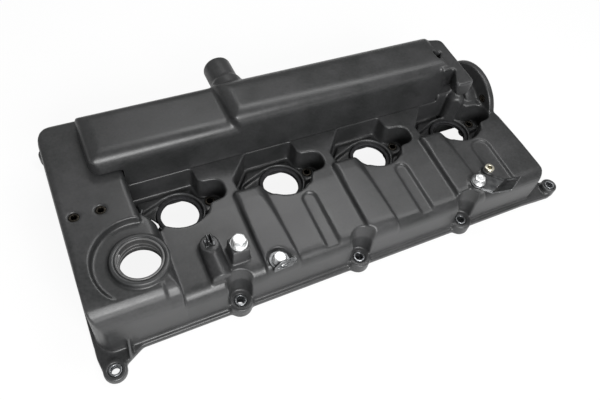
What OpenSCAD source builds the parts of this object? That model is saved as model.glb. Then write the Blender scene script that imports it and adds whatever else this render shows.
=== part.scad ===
// Moulded valve cover of a four-cylinder diesel engine, with an air duct along its rear side.
// X runs along the crankshaft toward the port, Y to the rear duct side, Z up.
// The origin is the centre of the six-screw pattern, on the sealing face.

/* [Engine layout] */
// Spacing of the cylinders
cyl_pitch = 96; // [94:0.5:97]
// X of the first injector bore
first_bore_x = -133.5; // [-136:0.5:-132]
// Y of the injector bores
bore_y = -14; // [-15:0.5:-13]
// Radius of an injector bore
bore_r = 17.6; // [16:0.1:18]
// Offset of a clamp screw from its injector bore along X
clamp_dx = 28.5; // [27:0.5:29]
// Offset of a clamp screw from its injector bore along Y
clamp_dy = 4; // [2:0.5:5]
// Spacing of the long-side cover screws along X
screw_pitch_x = 112.5; // [108:0.5:114]
// Distance between the front and rear rows of cover screws
screw_row_y = 206; // [204:0.5:208]

/* [Moulding] */
// Thickness of the moulded walls
wall = 3; // [2.4:0.1:3.4]
// X of the left end wall
left_x = -226; // [-230:1:-224]
// X of the right end wall
right_x = 207; // [206:1:212]
// Y of the foot of the front wall
front_y = -105; // [-106:0.5:-104]
// How far the front wall leans back over its height
front_draft = 3; // [1:0.5:4]
// Radius of the front top edge
front_edge_r = 12; // [8:1:14]
// Height of the level lands and of the weld line
land_z = 45; // [43:0.5:48]
// Fall of the front top from its rear edge to its front edge
front_fall = 5; // [2:0.5:7]
// Y where the front top starts to fall
fall_y = -35; // [-40:1:-30]
// Radius of the upright corners
corner_r = 14; // [8:1:18]

/* [Sealing flange] */
// Thickness of the flange
flange_t = 6; // [5:0.5:8]
// Width of the flange rail
rail_w = 18; // [17:0.5:20]
// Overhang of the flange past the walls
flange_lip = 3.4; // [2:0.2:4.4]
// Width of the gasket
gasket_w = 4; // [3:0.25:4.5]
// Depth of the gasket groove
gasket_t = 3; // [2:0.25:4]
// Distance from the flange edge to the gasket
gasket_inset = 12.4; // [12:0.1:13]
// Height of the screw seats
seat_z = 12; // [9:0.5:16]
// Radius of a screw seat
seat_r = 9; // [8:0.25:10]
// Outer radius of a screw sleeve
sleeve_r = 5; // [4.5:0.1:6]
// Bore radius of a screw sleeve
sleeve_bore_r = 3.4; // [3:0.1:4]
// Distance of the left ear screw from the left wall
ear_left_dx = 7; // [5:0.5:9]
// Distance of the left ear screw in front of the front wall
ear_left_dy = 14; // [12:0.5:18]
// Distance of the right ear screw past the right wall
ear_right_dx = 21; // [19:0.5:23]
// Distance of the right ear screw behind the foot of the front wall
ear_right_dy = 4; // [2:0.5:6]
// Distance of the rear corner screws from the end walls
rear_corner_dx = 4; // [3:0.5:8]

/* [Injector wells] */
// Height of the well floor
well_z = 26; // [24:0.5:28]
// Depth of the drain channel below the well floor
channel_d = 4; // [2:0.5:5]
// Distance from the well wall to the raised floor
channel_w = 4.5; // [3:0.25:6]
// Distance from the duct's wall to the raised floor
channel_rear_w = 7; // [5:0.5:8]
// Depth of the pocket that leads from an injector bore to the left tip of its well
pocket_d = 3.5; // [2.5:0.25:4]
// Height of the lip round an injector bore
lip_h = 1.5; // [1:0.25:2.5]
// Width of the lip round an injector bore
lip_w = 2.4; // [2:0.2:3.2]
// Width of the seal round an injector
seal_w = 2.2; // [1.8:0.1:3]
// Height of the seal round an injector
seal_h = 4.5; // [3:0.5:5]
// Radius of a clamp screw insert
clamp_insert_r = 4.5; // [4:0.1:5]
// Bore radius of a clamp screw insert
clamp_bore_r = 2.6; // [2:0.1:3]

/* [Ridges and dents] */
// Width of a ridge
ridge_w = 28.5; // [24:0.5:32]
// Height of a ridge over the front top
ridge_h = 4.5; // [3:0.25:6]
// Distance from an injector bore to the ridge on its left
ridge_dx = 51.5; // [50:0.5:53]
// Y of the rear end of a ridge
ridge_y = -23; // [-25:0.5:-21]
// Width of a dent
dent_w = 13; // [9:0.5:16]
// Depth of a dent
dent_d = 2; // [1:0.25:2.5]
// Distance from an injector bore to the dent on its right
dent_dx = 3.5; // [1:0.5:6]
// Width of the dent in the last bay
end_dent_w = 20; // [16:0.5:22]
// Distance from the last injector bore to the middle of the last dent
end_dent_dx = 5.5; // [3:0.5:8]

/* [Filler end] */
// Height of the plate at the left end
plate_z = 65; // [62:0.5:68]
// Y of the rear edge of the plate at the left end
plate_rear_y = 86.5; // [84:0.5:88]
// X of the plate's right edge
plate_x = -169.5; // [-172:0.5:-169]
// Height of the floor round the filler
filler_z = 57.5; // [55:0.5:60]
// X of the right edge of the filler floor
filler_edge_x = -158; // [-160:0.5:-156]
// X of the filler
filler_x = -179.5; // [-181:0.5:-178]
// Y of the filler
filler_y = -66; // [-68:0.5:-64]
// Bore radius of the filler
filler_bore_r = 16.3; // [14:0.1:17]
// Outer radius of the filler ring
filler_ring_r = 22.5; // [21:0.5:24]
// Height of the filler ring over its floor
filler_ring_h = 4.5; // [3:0.5:7]
// Radius of the recess round the filler
filler_recess_r = 35; // [32:0.5:36]
// Wall of the threaded filler insert
filler_insert_t = 1.8; // [1.5:0.1:2.5]
// Length of the threaded filler insert
filler_insert_l = 16; // [12:0.5:20]

/* [Air duct] */
// Y of the duct's front wall
duct_y = 15; // [14:0.5:17]
// Y of the duct's rear wall
duct_rear_y = 78; // [74:0.5:82]
// Height of the low part of the duct
low_z = 84; // [80:0.5:88]
// Height of the tall part of the duct
tall_z = 94.5; // [92:0.5:98]
// X of the duct's left end
duct_left_x = -194; // [-198:0.5:-190]
// X where the tall part starts
tall_x = -75; // [-80:0.5:-72]
// X where the tall part ends
tall_end_x = 152; // [148:0.5:156]
// Radius of the duct's front top edge
duct_edge_r = 11; // [8:0.5:14]
// Size of the slope at the rear top edge of the low part
low_slope = 12; // [8:0.5:16]
// Size of the slope at the rear top edge of the tall part
tall_slope = 20.5; // [16:0.5:22]
// Thickness of the end bridge
bridge_t = 14; // [10:0.5:16]
// Height of the end bridge
bridge_z = 90; // [88:0.5:91]
// Y of the front end of the end bridge
bridge_y = -8; // [-10:0.5:-5]
// X of the outer face of the round port
port_x = 203; // [202:0.5:204.5]
// Y of the round port
port_y = 21.5; // [20:0.5:24]
// Height of the round port
port_z = 28; // [27:0.5:29]
// Outer radius of the port flange
port_r = 41.8; // [40:0.2:43]
// Thickness of the port flange
port_t = 7; // [6:0.5:8]
// Bore radius of the port
port_bore_r = 20; // [18:0.5:20.5]
// X of the pipe stub
stub_x = -56.5; // [-60:0.5:-52]
// Height of the pipe stub's axis
stub_z = 70; // [68:0.5:72]
// Outer radius of the pipe stub
stub_r = 13.6; // [12:0.1:14.4]
// Wall of the pipe stub
stub_wall = 2.6; // [2:0.1:4]
// Y of the pipe stub's mouth
stub_y = 104.5; // [100:0.5:112]
// Length of a runner port
runner_l = 52; // [44:1:58]
// Width of a runner port
runner_w = 22; // [18:0.5:24]
// Thickness of the duct's floor
duct_floor_t = 7; // [6:0.5:9]

/* [Bosses and brackets] */
// Side of the square boss
boss_side = 15; // [13:0.5:16]
// Top of the square boss
boss_z = 58; // [54:0.5:62]
// X of the square boss
boss_x = -106; // [-108:0.5:-104]
// Y of the square boss
boss_y = -78.3; // [-80:0.1:-76]
// Across flats of the hex bolt on the square boss
bolt_af = 10; // [8:0.5:11]
// X of the clip boss
clip_x = -125.5; // [-128:0.5:-124]
// Y of the clip boss
clip_y = -66; // [-68:0.5:-64]
// Top of the clip boss
clip_z = 52; // [50:0.5:54]
// Radius of the clip boss
clip_r = 8; // [7:0.25:9]
// X of the left bracket's screw
br1_x = -77.8; // [-79:0.2:-77]
// Y of the left bracket's screw
br1_y = -96; // [-96.5:0.5:-94]
// X of the right bracket's screw
br2_x = 126.5; // [125:0.5:129]
// Y of the right bracket's screw
br2_y = -90; // [-92:0.5:-88]
// Radius of a bracket screw's seat
br_seat_r = 9; // [8:0.25:10]
// Thickness of the bracket sheet
sheet_t = 1.6; // [1.2:0.1:2.5]
// Radius of a bracket screw's shank
screw_r = 2.8; // [2.5:0.1:3]

/* [Hidden] */
$fn = 64;

eps = 0.01;
fit_gap = 0.05;
bores = [0:3];
screw_cols = [-1, 0, 1];
plastic = "#333436";
rubber = "#1d1d1f";
steel = "#c9cbcc";
brass = "#b99a4d";

function bore_x(k) = first_bore_x + k * cyl_pitch;

// Outline with round corners: each corner of the polygon gets its own radius
function unit(v) = v / norm(v);
function turn(a, p, b) = cross(p - a, b - p);
function fillet_r(a, p, b, r, half) = min(r, 0.48 * min(norm(a - p), norm(b - p)) * tan(half));
function arc_about(c, r, a0, sweep, n) =
  [for (i = [0:n]) c + r * [cos(a0 + sweep * i / n), sin(a0 + sweep * i / n)]];
function wrap(a) = a > 180 ? a - 360 : a < -180 ? a + 360 : a;
function fillet_arc(c, s, e, r, n) =
  let (a0 = atan2(s[1] - c[1], s[0] - c[0]), a1 = atan2(e[1] - c[1], e[0] - c[0]))
  arc_about(c, r, a0, wrap(a1 - a0), n);
function corner(a, p, b, r, n) =
  let (u = unit(a - p), v = unit(b - p), half = acos(max(-1, min(1, u * v))) / 2)
  r < 0.05 || half > 89 ? [p] :
  let (rr = fillet_r(a, p, b, r, half), t = rr / tan(half), c = p + unit(u + v) * rr / sin(half))
  fillet_arc(c, p + u * t, p + v * t, rr, n);
function rounded(pts, radii, n = 5) =
  let (m = len(pts))
  [for (i = [0:m - 1]) each corner(pts[(i + m - 1) % m], pts[i], pts[(i + 1) % m], radii[i], n)];

// The same polygon moved inward by d, or outward where d is negative
function left_normal(a, b) = let (u = unit(b - a)) [-u[1], u[0]];
function moved(a, p, b, d) =
  let (n1 = left_normal(a, p), n2 = left_normal(p, b))
  p + (n1 + n2) * d / (1 + n1 * n2);
function inset(pts, d) =
  let (m = len(pts))
  [for (i = [0:m - 1]) moved(pts[(i + m - 1) % m], pts[i], pts[(i + 1) % m], d)];
function inset_radii(pts, radii, d) =
  let (m = len(pts))
  [for (i = [0:m - 1])
    turn(pts[(i + m - 1) % m], pts[i], pts[(i + 1) % m]) > 0 ? max(radii[i] - d, 0) : max(radii[i] + d, 0)];
module outline(pts, radii, d = 0, n = 5) {
  polygon(rounded(inset(pts, d), inset_radii(pts, radii, d), n));
}

// Extrusions along the axes: a YZ outline along X, an XZ outline along Y, an XY outline along Z
module run_x(x0, x1) {
  translate([x0, 0, 0]) rotate([90, 0, 90]) linear_extrude(x1 - x0) children();
}
module run_y(y0, y1) {
  translate([0, y1, 0]) rotate([90, 0, 0]) linear_extrude(y1 - y0) children();
}
module run_z(z0, z1) {
  translate([0, 0, z0]) linear_extrude(z1 - z0) children();
}
module block(x0, x1, y0, y1, z0, z1) {
  translate([x0, y0, z0]) cube([x1 - x0, y1 - y0, z1 - z0]);
}
module post(x, y, r, z0, z1) {
  translate([x, y, z0]) cylinder(h = z1 - z0, r = r);
}

// Places of the cover screws
front_row_y = -screw_row_y / 2;
rear_row_y = screw_row_y / 2;
ear_left = [left_x + ear_left_dx, front_y - ear_left_dy];
ear_right = [right_x + ear_right_dx, front_y + ear_right_dy];
rear_left = [left_x + rear_corner_dx, rear_row_y];
rear_right = [right_x - rear_corner_dx, rear_row_y];
flange_front = front_y - flange_lip;
flange_rear = -flange_front;
flange_left = left_x - flange_lip;
flange_right = right_x + flange_lip;

// Outline of the flange rail, without its lugs
rail_pts = [[flange_left, flange_front], [flange_right, flange_front], [flange_right, flange_rear],
  [flange_left, flange_rear]];
rail_radii = [corner_r, corner_r, corner_r, corner_r];

// Section across the main body: front wall, falling top, level land and the weld line of the duct
body_pts = [[front_y, 0], [duct_rear_y, 0], [duct_rear_y, land_z], [fall_y, land_z],
  [front_y + front_draft, land_z - front_fall]];
body_radii = [0, 0, 0, 30, front_edge_r];
// Section along the main body: only its right end is round
body_end_pts = [[left_x, 0], [right_x, 0], [right_x, land_z], [left_x, land_z]];
body_end_radii = [0, 0, 7, 0];
// Plan of the walls: the right end steps in to the back of the port flange
port_back_x = port_x - port_t;
end_step_y = port_y - port_r - 6;
port_foot_y = duct_y - 5;
neck_wall_x = tall_end_x + 6;
plan_pts = [[left_x, front_y], [right_x, front_y], [right_x, end_step_y], [port_back_x, end_step_y + 22],
  [port_back_x, port_foot_y], [neck_wall_x, port_foot_y], [neck_wall_x, duct_rear_y], [left_x, duct_rear_y]];
plan_radii = [corner_r, corner_r, 8, 3, 2, 4, 6, corner_r];
// Plan of the raised blocks at the left end, whose rear corner is rounder
plate_corner_r = 20;
plate_plan_pts = [[left_x, front_y], [right_x, front_y], [right_x, plate_rear_y], [left_x, plate_rear_y]];
plate_plan_radii = [corner_r, corner_r, corner_r, plate_corner_r];

module main_body(d) {
  intersection() {
    run_x(left_x + d, right_x - d) outline(body_pts, body_radii, d);
    run_y(front_y, duct_rear_y) outline(body_end_pts, body_end_radii, d);
    run_z(d, land_z) outline(plan_pts, plan_radii, d);
  }
}

// Raised block round the filler, and the plate behind it
filler_front_r = 20;
filler_pts = [[front_y, 0], [duct_y, 0], [duct_y, filler_z], [front_y + front_draft, filler_z]];
filler_radii = [0, 0, 0, filler_front_r];
filler_end_pts = [[left_x, 0], [filler_edge_x, 0], [filler_edge_x, filler_z], [left_x, filler_z]];
filler_end_radii = [0, 0, 7, 4];
plate_fall_y = -58;
plate_fall = 9;
plate_pts = [[front_y, 0], [plate_rear_y, 0], [plate_rear_y, plate_z], [plate_fall_y, plate_z],
  [front_y + front_draft, plate_z - plate_fall]];
plate_radii = [0, 0, 8, 20, filler_front_r];
plate_end_pts = [[left_x, 0], [plate_x, 0], [plate_x, plate_z], [left_x, plate_z]];
plate_end_radii = [0, 0, 4, 4];

module filler_block(d) {
  intersection() {
    run_x(left_x + d, filler_edge_x - d) outline(filler_pts, filler_radii, d);
    run_y(front_y, duct_y) outline(filler_end_pts, filler_end_radii, d);
    run_z(d, filler_z) outline(plate_plan_pts, plate_plan_radii, d);
  }
}
// The plate stays outside the recess round the filler
recess_y = filler_y + 0.88 * filler_recess_r;
module plate_block(d) {
  difference() {
    intersection() {
      run_x(left_x + d, plate_x - d) outline(plate_pts, plate_radii, d);
      run_y(front_y, plate_rear_y) outline(plate_end_pts, plate_end_radii, d);
      run_z(d, plate_z) outline(plate_plan_pts, plate_plan_radii, d);
    }
    post(filler_x, filler_y, filler_recess_r + d, filler_z - d, plate_z + 1);
    block(filler_x, plate_x + 1, front_y - 1, recess_y + d, filler_z - d, plate_z + 1);
  }
}

// Keyhole outline of one injector well, about its injector bore
well_pts = [[-25, duct_y - bore_y], [-45, 6], [-45, -9], [-25, -9], [-20, -20.5], [19, -20.5],
  [clamp_dx - 4.5, -10], [clamp_dx + 12, -8], [clamp_dx + 12, 11], [clamp_dx - 7, 13],
  [20.5, duct_y - bore_y]];
well_radii = [2, 5, 6, 3, 3, 4, 5, 8, 8, 6, 2];
// The first well is shorter on its left, where the filler block stands
first_well_left = plate_x - first_bore_x;
first_well_pts = [[first_well_left, duct_y - bore_y], [first_well_left, -4], [first_well_left + 7, -9],
  [-20, -12], [-18, -20.5], [19, -20.5], [clamp_dx - 4.5, -10], [clamp_dx + 12, -8], [clamp_dx + 12, 11],
  [clamp_dx - 7, 13], [20.5, duct_y - bore_y]];
first_well_radii = [2, 5, 5, 3, 3, 4, 5, 8, 8, 6, 2];
function well_outline(k) = k == 0 ? first_well_pts : well_pts;
function well_round(k) = k == 0 ? first_well_radii : well_radii;
well_under_z = well_z - channel_d - wall;
seal_z = well_under_z + 1.5;
seal_seat_r = bore_r + seal_w;
seal_gap = 0.6;
insert_wall = 2.5;
clamp_insert_l = 12;
first_bay = 0;

module well_solid(k) {
  translate([bore_x(k), bore_y, 0]) {
    run_z(well_under_z, plate_z + 1) outline(well_outline(k), well_round(k), -wall);
    post(clamp_dx, clamp_dy, clamp_insert_r + insert_wall, well_z - clamp_insert_l - wall, well_z);
  }
}
module well_cut(k) {
  translate([bore_x(k), bore_y, 0]) {
    run_z(well_z - channel_d, low_z) outline(well_outline(k), well_round(k));
  }
}
// Holes through the well: the injector's with the seat of its seal, and the clamp screw's
module well_holes(k) {
  translate([bore_x(k), bore_y, 0]) {
    post(0, 0, bore_r + seal_gap, -1, plate_z);
    post(0, 0, seal_seat_r, seal_z, plate_z);
    post(clamp_dx, clamp_dy, clamp_insert_r, well_z - clamp_insert_l, plate_z);
  }
}
// Pocket beside the bore, with a straight side that leaves the ring toward the left tip
pocket_angle = 21;
pocket_tip_x = 35;
module pocket() {
  u = [cos(pocket_angle), sin(pocket_angle)];
  side = [-u[1], u[0]] * (seal_seat_r + 1);
  polygon([[0, 0], side, side - u * (pocket_tip_x - seal_seat_r / 3), [-pocket_tip_x, 3],
    [-seal_seat_r, -6]]);
}
// Raised floor with the lip round the bore; the channel beside the walls stays free
module well_floor(k) {
  translate([bore_x(k), bore_y, 0]) difference() {
    union() {
      intersection() {
        run_z(well_z - channel_d - 0.5, well_z) outline(well_outline(k), well_round(k), channel_w);
        block(-cyl_pitch / 2, cyl_pitch / 2, -cyl_pitch / 2, duct_y - bore_y - channel_rear_w, 0, well_z + 1);
      }
      post(0, 0, seal_seat_r + lip_w, well_z - channel_d - 0.5, well_z + lip_h);
    }
    run_z(well_z - pocket_d, plate_z) pocket();
  }
}
// Slot through the floor of the first well, beside its bore
module drain_slot() {
  translate([bore_x(first_bay), bore_y, 0]) run_z(-1, land_z)
    outline([[-bore_r - 8, 4], [-bore_r - 2.6, -1], [-bore_r - 2.6, -8], [-bore_r - 8, -4]], [2, 1, 2, 2]);
}

// A ridge over the front top, and a dent in it
module ridge(k) {
  x0 = bore_x(k + 1) - ridge_dx;
  x1 = x0 + ridge_w;
  top = land_z + ridge_h;
  pts = [[front_y + 1, flange_t], [ridge_y, flange_t], [ridge_y, top], [fall_y, top],
    [front_y + front_draft, top - front_fall]];
  intersection() {
    run_x(x0, x1) outline(pts, [0, 0, 4, 30, front_edge_r + 2]);
    run_y(front_y, ridge_y) outline([[x0, 0], [x1, 0], [x1, top], [x0, top]], [0, 0, 9, 4]);
    run_z(flange_t, top) outline([[x0, front_y], [x1, front_y], [x1, ridge_y], [x0, ridge_y]], [2, 2, 8, 4]);
  }
}
dent_l = 56;
dent_tip = 8;
module dent(x, w, grow) {
  top_slope = atan(front_fall / (fall_y - front_y - front_draft));
  translate([x, fall_y - 8, land_z - dent_d - 0.6 - grow]) rotate([top_slope, 0, 0]) run_z(0, flare_h + grow)
    outline([[-w / 2, -dent_l], [0, -dent_l - dent_tip], [w / 2, -dent_l], [w / 2, 0], [-w / 2, 0]],
      [4, 2, 4, w / 2, w / 2], -grow);
}
module dents(grow) {
  for (k = [1, 2]) dent(bore_x(k) + dent_dx + dent_w / 2, dent_w, grow);
  dent(bore_x(3) + end_dent_dx, end_dent_w, grow);
}

// Flange rail with its lugs and ears
module lug(p, r) {
  translate([p[0], p[1], 0]) cylinder(h = seat_z, r = r);
}
module left_ear() {
  web = [[flange_left, front_y + 8], [flange_left, front_y], [ear_left[0] - seat_r + 0.5, ear_left[1]],
    [ear_left[0], ear_left[1] - seat_r + 0.5], [ear_left[0] + seat_r, ear_left[1] + 2],
    [ear_left[0] + 24, front_y - flange_lip], [ear_left[0] + 40, front_y + 2]];
  run_z(0, flange_t) outline(web, [0, 2, 6, 6, 4, 16, 0]);
  post(ear_left[0], ear_left[1], seat_r, 0, flange_t + 1.2);
}
// Thin rib that ties the left ear to the front wall
module ear_rib() {
  rib_t = 2.4;
  translate([ear_left[0] + 13, ear_left[1] + 4, 0]) rotate([0, 0, 78]) translate([0, -rib_t / 2, 0])
    rotate([90, 0, 0]) translate([0, 0, -rib_t]) linear_extrude(rib_t)
      polygon([[0, flange_t - 1], [16, flange_t - 1], [16, 24], [11, 22], [0, flange_t + 2]]);
}
module right_ear() {
  run_z(0, flange_t)
    outline([[flange_right - 20, flange_front], [ear_right[0] - 2, ear_right[1] - seat_r],
      [ear_right[0] + seat_r - 1, ear_right[1]], [ear_right[0] - 2, ear_right[1] + seat_r],
      [flange_right - 4, ear_right[1] + 22], [flange_right - 20, ear_right[1] + 22]], [2, 7, 8, 7, 14, 0]);
  post(ear_right[0], ear_right[1], seat_r - 1, 0, seat_z);
}
module flange() {
  difference() {
    run_z(0, flange_t) outline(rail_pts, rail_radii);
    run_z(-1, flange_t + 1) outline(rail_pts, rail_radii, rail_w);
  }
  left_ear();
  right_ear();
  for (i = screw_cols) {
    lug([i * screw_pitch_x, front_row_y], seat_r + 1.5);
    lug([i * screw_pitch_x, rear_row_y], seat_r + 1.5);
  }
  lug(rear_left, seat_r);
  lug(rear_right, seat_r);
}
// Deck behind the duct's rear wall, down on the flange, with its stiffening ribs
deck_z = 9;
module rear_deck() {
  deck_rear_y = rear_row_y - seat_r;
  run_z(0, deck_z) outline([[left_x, duct_rear_y - wall], [port_back_x, duct_rear_y - wall],
    [port_back_x, deck_rear_y], [left_x, deck_rear_y]], [0, 0, 4, 4]);
  run_z(0, deck_z) outline([[tall_end_x, duct_y], [port_back_x + 1, duct_y], [port_back_x + 1, duct_rear_y],
    [tall_end_x, duct_rear_y]], [0, 0, 0, 0]);
  for (i = [-3:3])
    run_x(i * screw_pitch_x / 2 - wall / 2, i * screw_pitch_x / 2 + wall / 2)
      polygon([[duct_rear_y - 1, deck_z - 1], [deck_rear_y - 4, deck_z - 1], [duct_rear_y - 1, land_z - 12]]);
}
module screw_bores() {
  spots = concat([for (i = screw_cols, y = [front_row_y, rear_row_y]) [i * screw_pitch_x, y]],
    [ear_left, ear_right, rear_left, rear_right]);
  for (p = spots) post(p[0], p[1], sleeve_r, -1, seat_z + 1);
}
// Upright channels over the front seats, for the socket, with a flare at the front edge of the top
channel_flare = 4;
flare_h = 12;
socket_gap = 0.5;
module channels(z0, grow) {
  r = seat_r + socket_gap + grow;
  for (i = screw_cols) translate([i * screw_pitch_x, front_row_y, 0]) {
    post(0, 0, r, z0, low_z);
    translate([0, 0, land_z - front_fall - 9 - grow])
      cylinder(h = flare_h + grow, r1 = r, r2 = r + channel_flare);
  }
}
module seat_channels() channels(seat_z, 0);
module seat_columns() channels(0, wall);

// Trough of the duct below the weld line, its neck and the round port
neck_y1 = port_y + port_bore_r + 4;
neck_z1 = port_z + port_bore_r + 4;
neck_x0 = tall_end_x - 2;
barrel_x0 = bore_x(3) + clamp_dx;
barrel_wall = 4;
module port_disc(r, x0, x1) {
  translate([x0, port_y, port_z]) rotate([0, 90, 0]) cylinder(h = x1 - x0, r = r);
}
module port_solid() {
  intersection() {
    port_disc(port_r, port_back_x, port_x);
    block(port_back_x - 1, port_x + 1, port_y - port_r - 1, port_y + port_r + 1, 0.5, port_z + port_r + 1);
  }
  port_disc(port_bore_r + barrel_wall, barrel_x0, port_back_x + eps);
  difference() {
    run_x(neck_x0, port_back_x - 4)
      outline([[duct_y, 0], [neck_y1 + wall, 0], [neck_y1 + wall, neck_z1 + wall], [duct_y, neck_z1 + wall]],
        [0, 4, 12, 6]);
    // The neck leaves the last well free
    translate([bore_x(3), bore_y, 0]) run_z(well_under_z, plate_z + 40) outline(well_pts, well_radii);
  }
}
module duct_hollow() {
  run_z(duct_floor_t, land_z + 1)
    outline([[plate_x + wall, duct_y + wall], [tall_end_x, duct_y + wall], [tall_end_x, duct_rear_y - wall],
      [plate_x + wall, duct_rear_y - wall]], [3, 3, 3, 3]);
  run_x(tall_end_x - 8, port_back_x - 4 - wall)
    outline([[duct_y + wall, duct_floor_t], [neck_y1, duct_floor_t], [neck_y1, neck_z1],
      [duct_y + wall, neck_z1]], [3, 3, 8, 8]);
  port_disc(port_bore_r, barrel_x0 + 1, port_x + 1);
}
module slot(x, y, l, w, z0, z1) {
  r = w / 2;
  for (s = [-1, 1]) post(x + s * (l / 2 - r), y, r, z0, z1);
  block(x - l / 2 + r, x + l / 2 - r, y - r, y + r, z0, z1);
}
runner_y = (duct_y + duct_rear_y) / 2;
runner_seal_w = 3;
runner_seal_gap = 3;
runner_seal_t = 3;
module runner_cuts() {
  for (k = bores) {
    inner = 2 * runner_seal_gap;
    outer = inner + 2 * runner_seal_w;
    slot(bore_x(k), runner_y, runner_l, runner_w, -1, duct_floor_t + 1);
    difference() {
      slot(bore_x(k), runner_y, runner_l + outer, runner_w + outer, -1, runner_seal_t);
      slot(bore_x(k), runner_y, runner_l + inner, runner_w + inner, -2, runner_seal_t + 1);
    }
  }
}

// Bosses on the front top
module square_boss() {
  block(boss_x - boss_side / 2, boss_x + boss_side / 2, boss_y - boss_side / 2, boss_y + boss_side / 2,
    land_z - front_fall - 6, boss_z);
}
// Clip boss with the half-round buttress that runs down to the front edge
module clip_boss() {
  post(clip_x, clip_y, clip_r, land_z - 6, clip_z);
  run_y(clip_y - clip_r - 22, clip_y)
    outline([[clip_x - clip_r, land_z - front_fall - 6], [clip_x + clip_r, land_z - front_fall - 6],
      [clip_x + clip_r, land_z + 2], [clip_x, land_z + 7], [clip_x - clip_r, land_z + 2]], [0, 0, 4, 6, 4]);
}
br1_z = land_z - 2.5;
br2_z = land_z + 2;
br1_seat_r = 5;
stud_p = [br2_x + 20.5, br2_y + 10];
stud_seat_z = land_z + 1;
module bracket_seats() {
  post(br1_x, br1_y, br1_seat_r, br1_z - 10, br1_z);
  post(br2_x, br2_y, br_seat_r, br2_z - 15, br2_z);
  post(stud_p[0], stud_p[1], 5.5, land_z - 8, stud_seat_z);
}
boss_bore_d = 16;
bracket_bore_d = 14;
stud_bore_d = 9;
core_wall = 3;
plate_holes = [[left_x + 11, -15.3], [left_x + 31, -15.3]];
plate_insert_r = 4;
plate_insert_bore_r = 2.2;
insert_l = 9;

module cover_outer() {
  main_body(0);
  filler_block(0);
  plate_block(0);
  post(filler_x, filler_y, filler_ring_r, filler_z - 2, filler_z + filler_ring_h);
  for (k = [0:2]) ridge(k);
  square_boss();
  clip_boss();
  bracket_seats();
  rear_deck();
}
// Space under the cover, between its walls
rib_t = 2;
rib_h = 10;
rib_dx = 37;
rib_step = -48;
module gallery() {
  difference() {
    union() {
      intersection() {
        main_body(wall);
        block(left_x, right_x, front_y, duct_y, 0, land_z);
      }
      intersection() {
        run_z(-1, wall + 1) outline(plan_pts, plan_radii, wall);
        block(left_x, right_x, front_y, duct_y, -1, land_z);
      }
      run_z(-1, wall + 1) intersection() {
        outline(plate_plan_pts, plate_plan_radii, wall);
        translate([left_x, front_y]) square([plate_x - wall - left_x, plate_rear_y - front_y]);
      }
      filler_block(wall);
      plate_block(wall);
    }
    // The rail stays whole under the walls, and the duct's trough stays closed toward the gallery
    difference() {
      block(left_x, right_x, front_y, rear_row_y, -1, flange_t);
      run_z(-2, flange_t + 1) outline(rail_pts, rail_radii, rail_w);
    }
    block(plate_x, right_x, duct_y, rear_row_y, -2, plate_z);
    seat_columns();
    dents(wall);
    for (k = bores) well_solid(k);
    post(filler_x, filler_y, filler_bore_r + filler_insert_t + wall, filler_z - 14, plate_z);
    for (p = plate_holes) post(p[0], p[1], plate_insert_r + 2.5, plate_z - insert_l - 3, plate_z);
    post(br1_x, br1_y, screw_r + core_wall, br1_z - bracket_bore_d - 4, plate_z);
    post(br2_x, br2_y, screw_r + core_wall, br2_z - bracket_bore_d - 4, plate_z);
    post(stud_p[0], stud_p[1], screw_r + core_wall - 0.5, stud_seat_z - stud_bore_d - 3, plate_z);
    post(boss_x, boss_y, screw_r + core_wall, boss_z - boss_bore_d - 6, plate_z);
    // Stiffening ribs under the front top
    for (k = [1:3], dx = [rib_dx, rib_dx + rib_step]) {
      x = bore_x(k) - dx;
      block(x - rib_t / 2, x + rib_t / 2, front_y, bore_y - bore_r, land_z - front_fall - rib_h, land_z);
    }
  }
}

module cover_shell() color(plastic) difference() {
  union() {
    difference() {
      union() {
        cover_outer();
        flange();
        port_solid();
      }
      gallery();
      duct_hollow();
      for (k = bores) well_cut(k);
      seat_channels();
      // Pocket in the left ridge, round the left bracket's screw
      post(br1_x, br1_y, br_seat_r + 1.5, br1_z, plate_z);
    }
    for (k = bores) well_floor(k);
    ear_rib();
    bridge_boss();
  }
  for (k = bores) well_holes(k);
  screw_bores();
  runner_cuts();
  dents(0);
  drain_slot();
  post(filler_x, filler_y, filler_bore_r + filler_insert_t, filler_z - 20, plate_z + 1);
  difference() {
    run_z(-1, gasket_t) outline(rail_pts, rail_radii, gasket_inset);
    run_z(-2, gasket_t + 1) outline(rail_pts, rail_radii, gasket_inset + gasket_w);
  }
  for (p = plate_holes) post(p[0], p[1], plate_insert_r, plate_z - insert_l, plate_z + 1);
  post(boss_x, boss_y, screw_r, boss_z - boss_bore_d, boss_z + 1);
  post(br1_x, br1_y, screw_r, br1_z - bracket_bore_d, br1_z + 1);
  post(br2_x, br2_y, screw_r, br2_z - bracket_bore_d, br2_z + 1);
  post(stud_p[0], stud_p[1], screw_r, stud_seat_z - stud_bore_d, stud_seat_z + 1);
  port_insert_spots() translate([0, 0, -port_hole_over])
    cylinder(h = port_insert_l + 2 * port_hole_over, r = port_insert_r);
}

// Domed boss in the last well, below the front end of the bridge
dome_r = 9;
dome_dx = 14.5;
dome_z = 48;
module bridge_boss() {
  x = bore_x(3) + dome_dx;
  y = duct_y - dome_r + 3;
  post(x, y, dome_r, well_under_z, dome_z);
  intersection() {
    translate([x, y, dome_z]) sphere(dome_r);
    block(x - dome_r, x + dome_r, y - dome_r, y + dome_r, dome_z, dome_z + dome_r);
  }
}

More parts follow.
